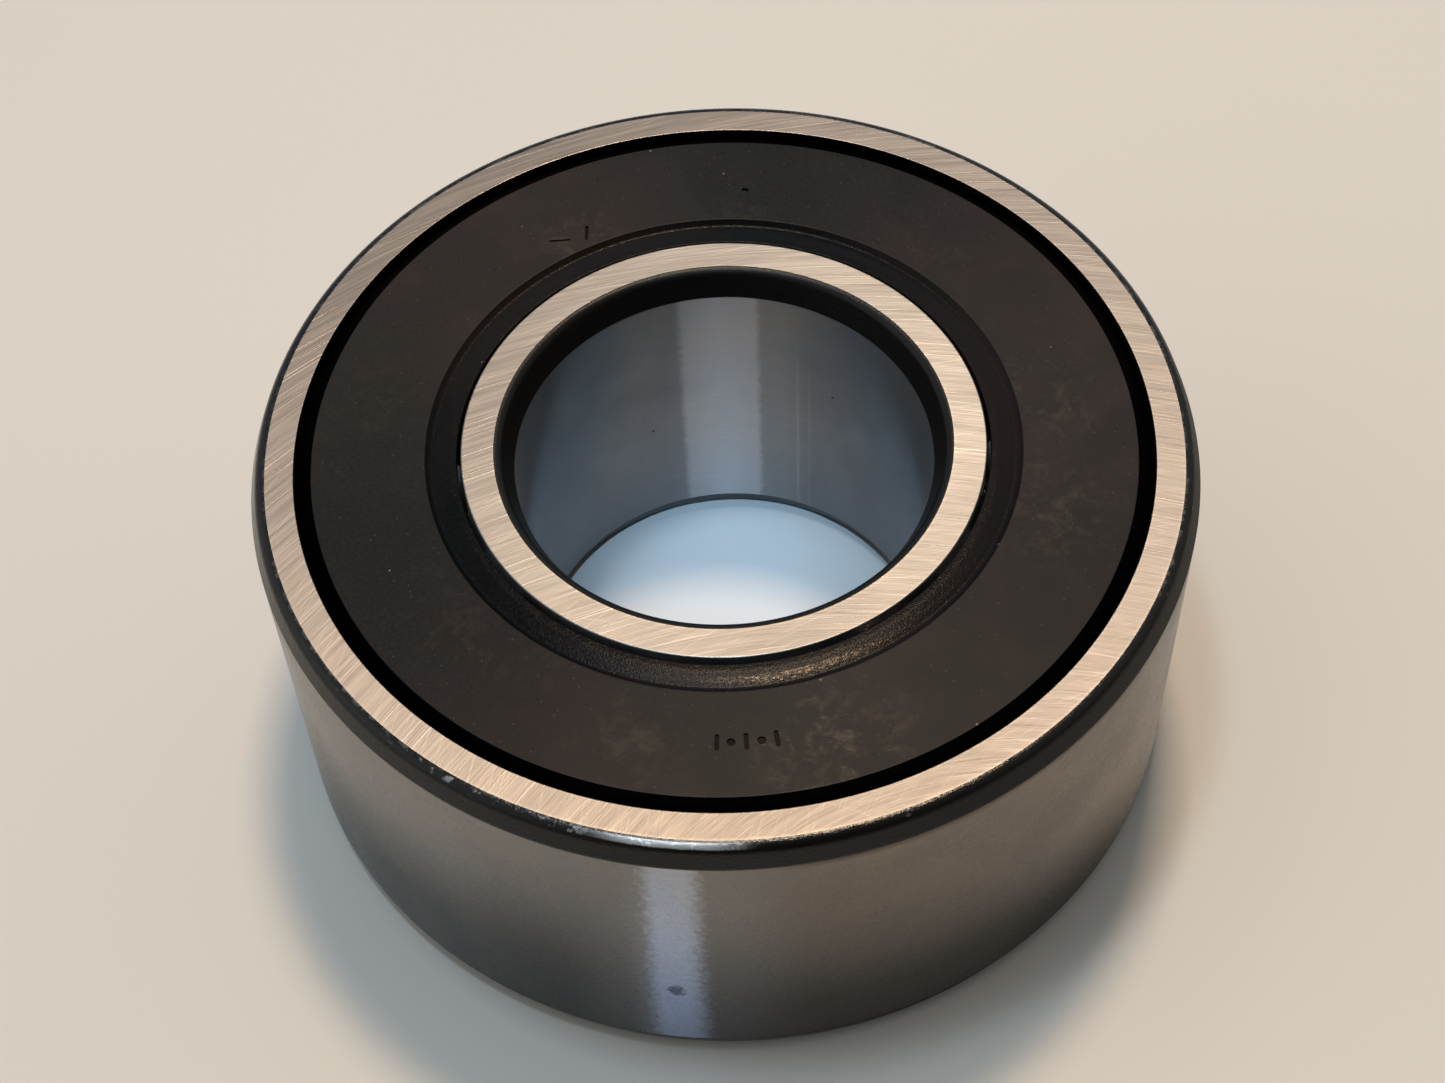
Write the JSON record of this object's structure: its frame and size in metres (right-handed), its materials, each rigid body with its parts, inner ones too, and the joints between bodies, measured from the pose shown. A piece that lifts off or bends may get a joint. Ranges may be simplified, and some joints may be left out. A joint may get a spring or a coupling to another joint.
{
  "type": "spherical roller bearing",
  "caption": "Sealed spherical roller bearing: ground steel rings with dark rounded edges, flush rubber seals, barrel rollers in pressed steel cages and a loose guide ring between the rows.",
  "frame": {"origin": "centre of the bearing, which is also the centre of the spherical raceway", "axes": "+Z along the bearing axis; the two sides are alike; +X and +Y lie in the middle plane"},
  "size_m": [0.09, 0.09, 0.038],
  "materials": {
    "ring_steel": "ground faces with straight grinding lines, satin outer cylinder and bore, glossy black oxide on the rounded edges",
    "guide_steel": "hardened, satin",
    "cage_steel": "pressed sheet, dull",
    "roller_steel": "honed, near mirror",
    "seal_rubber": "matte black-brown nitrile rubber, slightly dusty",
    "insert_steel": "plain pressed sheet"
  },
  "bodies": {
    "outer": {"outer_ring": "ring_steel", "upper_seal": "seal_rubber", "upper_seal_insert": "insert_steel", "lower_seal": "seal_rubber", "lower_seal_insert": "insert_steel"},
    "guide": {"guide_ring": "guide_steel"},
    "inner": {"inner_ring": "ring_steel"},
    "upper_cage": {"upper_cage": "cage_steel"},
    "upper_roller_01": {"upper_roller_01": "roller_steel"},
    "upper_roller_02": {"upper_roller_02": "roller_steel"},
    "upper_roller_03": {"upper_roller_03": "roller_steel"},
    "upper_roller_04": {"upper_roller_04": "roller_steel"},
    "upper_roller_05": {"upper_roller_05": "roller_steel"},
    "upper_roller_06": {"upper_roller_06": "roller_steel"},
    "upper_roller_07": {"upper_roller_07": "roller_steel"},
    "upper_roller_08": {"upper_roller_08": "roller_steel"},
    "upper_roller_09": {"upper_roller_09": "roller_steel"},
    "upper_roller_10": {"upper_roller_10": "roller_steel"},
    "upper_roller_11": {"upper_roller_11": "roller_steel"},
    "upper_roller_12": {"upper_roller_12": "roller_steel"},
    "upper_roller_13": {"upper_roller_13": "roller_steel"},
    "upper_roller_14": {"upper_roller_14": "roller_steel"},
    "lower_cage": {"lower_cage": "cage_steel"},
    "lower_roller_01": {"lower_roller_01": "roller_steel"},
    "lower_roller_02": {"lower_roller_02": "roller_steel"},
    "lower_roller_03": {"lower_roller_03": "roller_steel"},
    "lower_roller_04": {"lower_roller_04": "roller_steel"},
    "lower_roller_05": {"lower_roller_05": "roller_steel"},
    "lower_roller_06": {"lower_roller_06": "roller_steel"},
    "lower_roller_07": {"lower_roller_07": "roller_steel"},
    "lower_roller_08": {"lower_roller_08": "roller_steel"},
    "lower_roller_09": {"lower_roller_09": "roller_steel"},
    "lower_roller_10": {"lower_roller_10": "roller_steel"},
    "lower_roller_11": {"lower_roller_11": "roller_steel"},
    "lower_roller_12": {"lower_roller_12": "roller_steel"},
    "lower_roller_13": {"lower_roller_13": "roller_steel"},
    "lower_roller_14": {"lower_roller_14": "roller_steel"}
  },
  "joints": [
    {"name": "misalignment_tilt", "type": "hinge", "parent": "outer", "child": "guide", "pos_m": [0, 0, 0], "axis": [1, 0, 0], "range_deg": [-0.5, 0.5]},
    {"name": "inner_ring_spin", "type": "hinge", "parent": "guide", "child": "inner", "pos_m": [0, 0, 0], "axis": [0, 0, 1], "continuous": true},
    {"name": "upper_cage_spin", "type": "hinge", "parent": "guide", "child": "upper_cage", "pos_m": [0, 0, 0], "axis": [0, 0, 1], "continuous": true},
    {"name": "upper_roller_01_spin", "type": "hinge", "parent": "upper_cage", "child": "upper_roller_01", "pos_m": [0.03127, 0, 0.00809], "axis": [-0.2504, 0, 0.9681], "continuous": true},
    {"name": "upper_roller_02_spin", "type": "hinge", "parent": "upper_cage", "child": "upper_roller_02", "pos_m": [0.02817, 0.01357, 0.00809], "axis": [-0.2256, -0.1086, 0.9681], "continuous": true},
    {"name": "upper_roller_03_spin", "type": "hinge", "parent": "upper_cage", "child": "upper_roller_03", "pos_m": [0.0195, 0.02445, 0.00809], "axis": [-0.1561, -0.1958, 0.9681], "continuous": true},
    {"name": "upper_roller_04_spin", "type": "hinge", "parent": "upper_cage", "child": "upper_roller_04", "pos_m": [0.00696, 0.03049, 0.00809], "axis": [-0.0557, -0.2441, 0.9681], "continuous": true},
    {"name": "upper_roller_05_spin", "type": "hinge", "parent": "upper_cage", "child": "upper_roller_05", "pos_m": [-0.00696, 0.03049, 0.00809], "axis": [0.0557, -0.2441, 0.9681], "continuous": true},
    {"name": "upper_roller_06_spin", "type": "hinge", "parent": "upper_cage", "child": "upper_roller_06", "pos_m": [-0.0195, 0.02445, 0.00809], "axis": [0.1561, -0.1958, 0.9681], "continuous": true},
    {"name": "upper_roller_07_spin", "type": "hinge", "parent": "upper_cage", "child": "upper_roller_07", "pos_m": [-0.02817, 0.01357, 0.00809], "axis": [0.2256, -0.1086, 0.9681], "continuous": true},
    {"name": "upper_roller_08_spin", "type": "hinge", "parent": "upper_cage", "child": "upper_roller_08", "pos_m": [-0.03127, 0, 0.00809], "axis": [0.2504, 0, 0.9681], "continuous": true},
    {"name": "upper_roller_09_spin", "type": "hinge", "parent": "upper_cage", "child": "upper_roller_09", "pos_m": [-0.02817, -0.01357, 0.00809], "axis": [0.2256, 0.1086, 0.9681], "continuous": true},
    {"name": "upper_roller_10_spin", "type": "hinge", "parent": "upper_cage", "child": "upper_roller_10", "pos_m": [-0.0195, -0.02445, 0.00809], "axis": [0.1561, 0.1958, 0.9681], "continuous": true},
    {"name": "upper_roller_11_spin", "type": "hinge", "parent": "upper_cage", "child": "upper_roller_11", "pos_m": [-0.00696, -0.03049, 0.00809], "axis": [0.0557, 0.2441, 0.9681], "continuous": true},
    {"name": "upper_roller_12_spin", "type": "hinge", "parent": "upper_cage", "child": "upper_roller_12", "pos_m": [0.00696, -0.03049, 0.00809], "axis": [-0.0557, 0.2441, 0.9681], "continuous": true},
    {"name": "upper_roller_13_spin", "type": "hinge", "parent": "upper_cage", "child": "upper_roller_13", "pos_m": [0.0195, -0.02445, 0.00809], "axis": [-0.1561, 0.1958, 0.9681], "continuous": true},
    {"name": "upper_roller_14_spin", "type": "hinge", "parent": "upper_cage", "child": "upper_roller_14", "pos_m": [0.02817, -0.01357, 0.00809], "axis": [-0.2256, 0.1086, 0.9681], "continuous": true},
    {"name": "lower_cage_spin", "type": "hinge", "parent": "guide", "child": "lower_cage", "pos_m": [0, 0, 0], "axis": [0, 0, 1], "continuous": true},
    {"name": "lower_roller_01_spin", "type": "hinge", "parent": "lower_cage", "child": "lower_roller_01", "pos_m": [0.03049, 0.00696, -0.00809], "axis": [0.2441, 0.0557, 0.9681], "continuous": true},
    {"name": "lower_roller_02_spin", "type": "hinge", "parent": "lower_cage", "child": "lower_roller_02", "pos_m": [0.02445, 0.0195, -0.00809], "axis": [0.1958, 0.1561, 0.9681], "continuous": true},
    {"name": "lower_roller_03_spin", "type": "hinge", "parent": "lower_cage", "child": "lower_roller_03", "pos_m": [0.01357, 0.02817, -0.00809], "axis": [0.1086, 0.2256, 0.9681], "continuous": true},
    {"name": "lower_roller_04_spin", "type": "hinge", "parent": "lower_cage", "child": "lower_roller_04", "pos_m": [0, 0.03127, -0.00809], "axis": [0, 0.2504, 0.9681], "continuous": true},
    {"name": "lower_roller_05_spin", "type": "hinge", "parent": "lower_cage", "child": "lower_roller_05", "pos_m": [-0.01357, 0.02817, -0.00809], "axis": [-0.1086, 0.2256, 0.9681], "continuous": true},
    {"name": "lower_roller_06_spin", "type": "hinge", "parent": "lower_cage", "child": "lower_roller_06", "pos_m": [-0.02445, 0.0195, -0.00809], "axis": [-0.1958, 0.1561, 0.9681], "continuous": true},
    {"name": "lower_roller_07_spin", "type": "hinge", "parent": "lower_cage", "child": "lower_roller_07", "pos_m": [-0.03049, 0.00696, -0.00809], "axis": [-0.2441, 0.0557, 0.9681], "continuous": true},
    {"name": "lower_roller_08_spin", "type": "hinge", "parent": "lower_cage", "child": "lower_roller_08", "pos_m": [-0.03049, -0.00696, -0.00809], "axis": [-0.2441, -0.0557, 0.9681], "continuous": true},
    {"name": "lower_roller_09_spin", "type": "hinge", "parent": "lower_cage", "child": "lower_roller_09", "pos_m": [-0.02445, -0.0195, -0.00809], "axis": [-0.1958, -0.1561, 0.9681], "continuous": true},
    {"name": "lower_roller_10_spin", "type": "hinge", "parent": "lower_cage", "child": "lower_roller_10", "pos_m": [-0.01357, -0.02817, -0.00809], "axis": [-0.1086, -0.2256, 0.9681], "continuous": true},
    {"name": "lower_roller_11_spin", "type": "hinge", "parent": "lower_cage", "child": "lower_roller_11", "pos_m": [0, -0.03127, -0.00809], "axis": [0, -0.2504, 0.9681], "continuous": true},
    {"name": "lower_roller_12_spin", "type": "hinge", "parent": "lower_cage", "child": "lower_roller_12", "pos_m": [0.01357, -0.02817, -0.00809], "axis": [0.1086, -0.2256, 0.9681], "continuous": true},
    {"name": "lower_roller_13_spin", "type": "hinge", "parent": "lower_cage", "child": "lower_roller_13", "pos_m": [0.02445, -0.0195, -0.00809], "axis": [0.1958, -0.1561, 0.9681], "continuous": true},
    {"name": "lower_roller_14_spin", "type": "hinge", "parent": "lower_cage", "child": "lower_roller_14", "pos_m": [0.03049, -0.00696, -0.00809], "axis": [0.2441, -0.0557, 0.9681], "continuous": true}
  ],
  "couplings": [
    {"joint": "upper_cage_spin", "follows": "inner_ring_spin", "ratio": 0.40325},
    {"joint": "upper_roller_01_spin", "follows": "inner_ring_spin", "ratio": -2.408},
    {"joint": "upper_roller_02_spin", "follows": "inner_ring_spin", "ratio": -2.408},
    {"joint": "upper_roller_03_spin", "follows": "inner_ring_spin", "ratio": -2.408},
    {"joint": "upper_roller_04_spin", "follows": "inner_ring_spin", "ratio": -2.408},
    {"joint": "upper_roller_05_spin", "follows": "inner_ring_spin", "ratio": -2.408},
    {"joint": "upper_roller_06_spin", "follows": "inner_ring_spin", "ratio": -2.408},
    {"joint": "upper_roller_07_spin", "follows": "inner_ring_spin", "ratio": -2.408},
    {"joint": "upper_roller_08_spin", "follows": "inner_ring_spin", "ratio": -2.408},
    {"joint": "upper_roller_09_spin", "follows": "inner_ring_spin", "ratio": -2.408},
    {"joint": "upper_roller_10_spin", "follows": "inner_ring_spin", "ratio": -2.408},
    {"joint": "upper_roller_11_spin", "follows": "inner_ring_spin", "ratio": -2.408},
    {"joint": "upper_roller_12_spin", "follows": "inner_ring_spin", "ratio": -2.408},
    {"joint": "upper_roller_13_spin", "follows": "inner_ring_spin", "ratio": -2.408},
    {"joint": "upper_roller_14_spin", "follows": "inner_ring_spin", "ratio": -2.408},
    {"joint": "lower_cage_spin", "follows": "inner_ring_spin", "ratio": 0.40325},
    {"joint": "lower_roller_01_spin", "follows": "inner_ring_spin", "ratio": -2.408},
    {"joint": "lower_roller_02_spin", "follows": "inner_ring_spin", "ratio": -2.408},
    {"joint": "lower_roller_03_spin", "follows": "inner_ring_spin", "ratio": -2.408},
    {"joint": "lower_roller_04_spin", "follows": "inner_ring_spin", "ratio": -2.408},
    {"joint": "lower_roller_05_spin", "follows": "inner_ring_spin", "ratio": -2.408},
    {"joint": "lower_roller_06_spin", "follows": "inner_ring_spin", "ratio": -2.408},
    {"joint": "lower_roller_07_spin", "follows": "inner_ring_spin", "ratio": -2.408},
    {"joint": "lower_roller_08_spin", "follows": "inner_ring_spin", "ratio": -2.408},
    {"joint": "lower_roller_09_spin", "follows": "inner_ring_spin", "ratio": -2.408},
    {"joint": "lower_roller_10_spin", "follows": "inner_ring_spin", "ratio": -2.408},
    {"joint": "lower_roller_11_spin", "follows": "inner_ring_spin", "ratio": -2.408},
    {"joint": "lower_roller_12_spin", "follows": "inner_ring_spin", "ratio": -2.408},
    {"joint": "lower_roller_13_spin", "follows": "inner_ring_spin", "ratio": -2.408},
    {"joint": "lower_roller_14_spin", "follows": "inner_ring_spin", "ratio": -2.408}
  ]
}
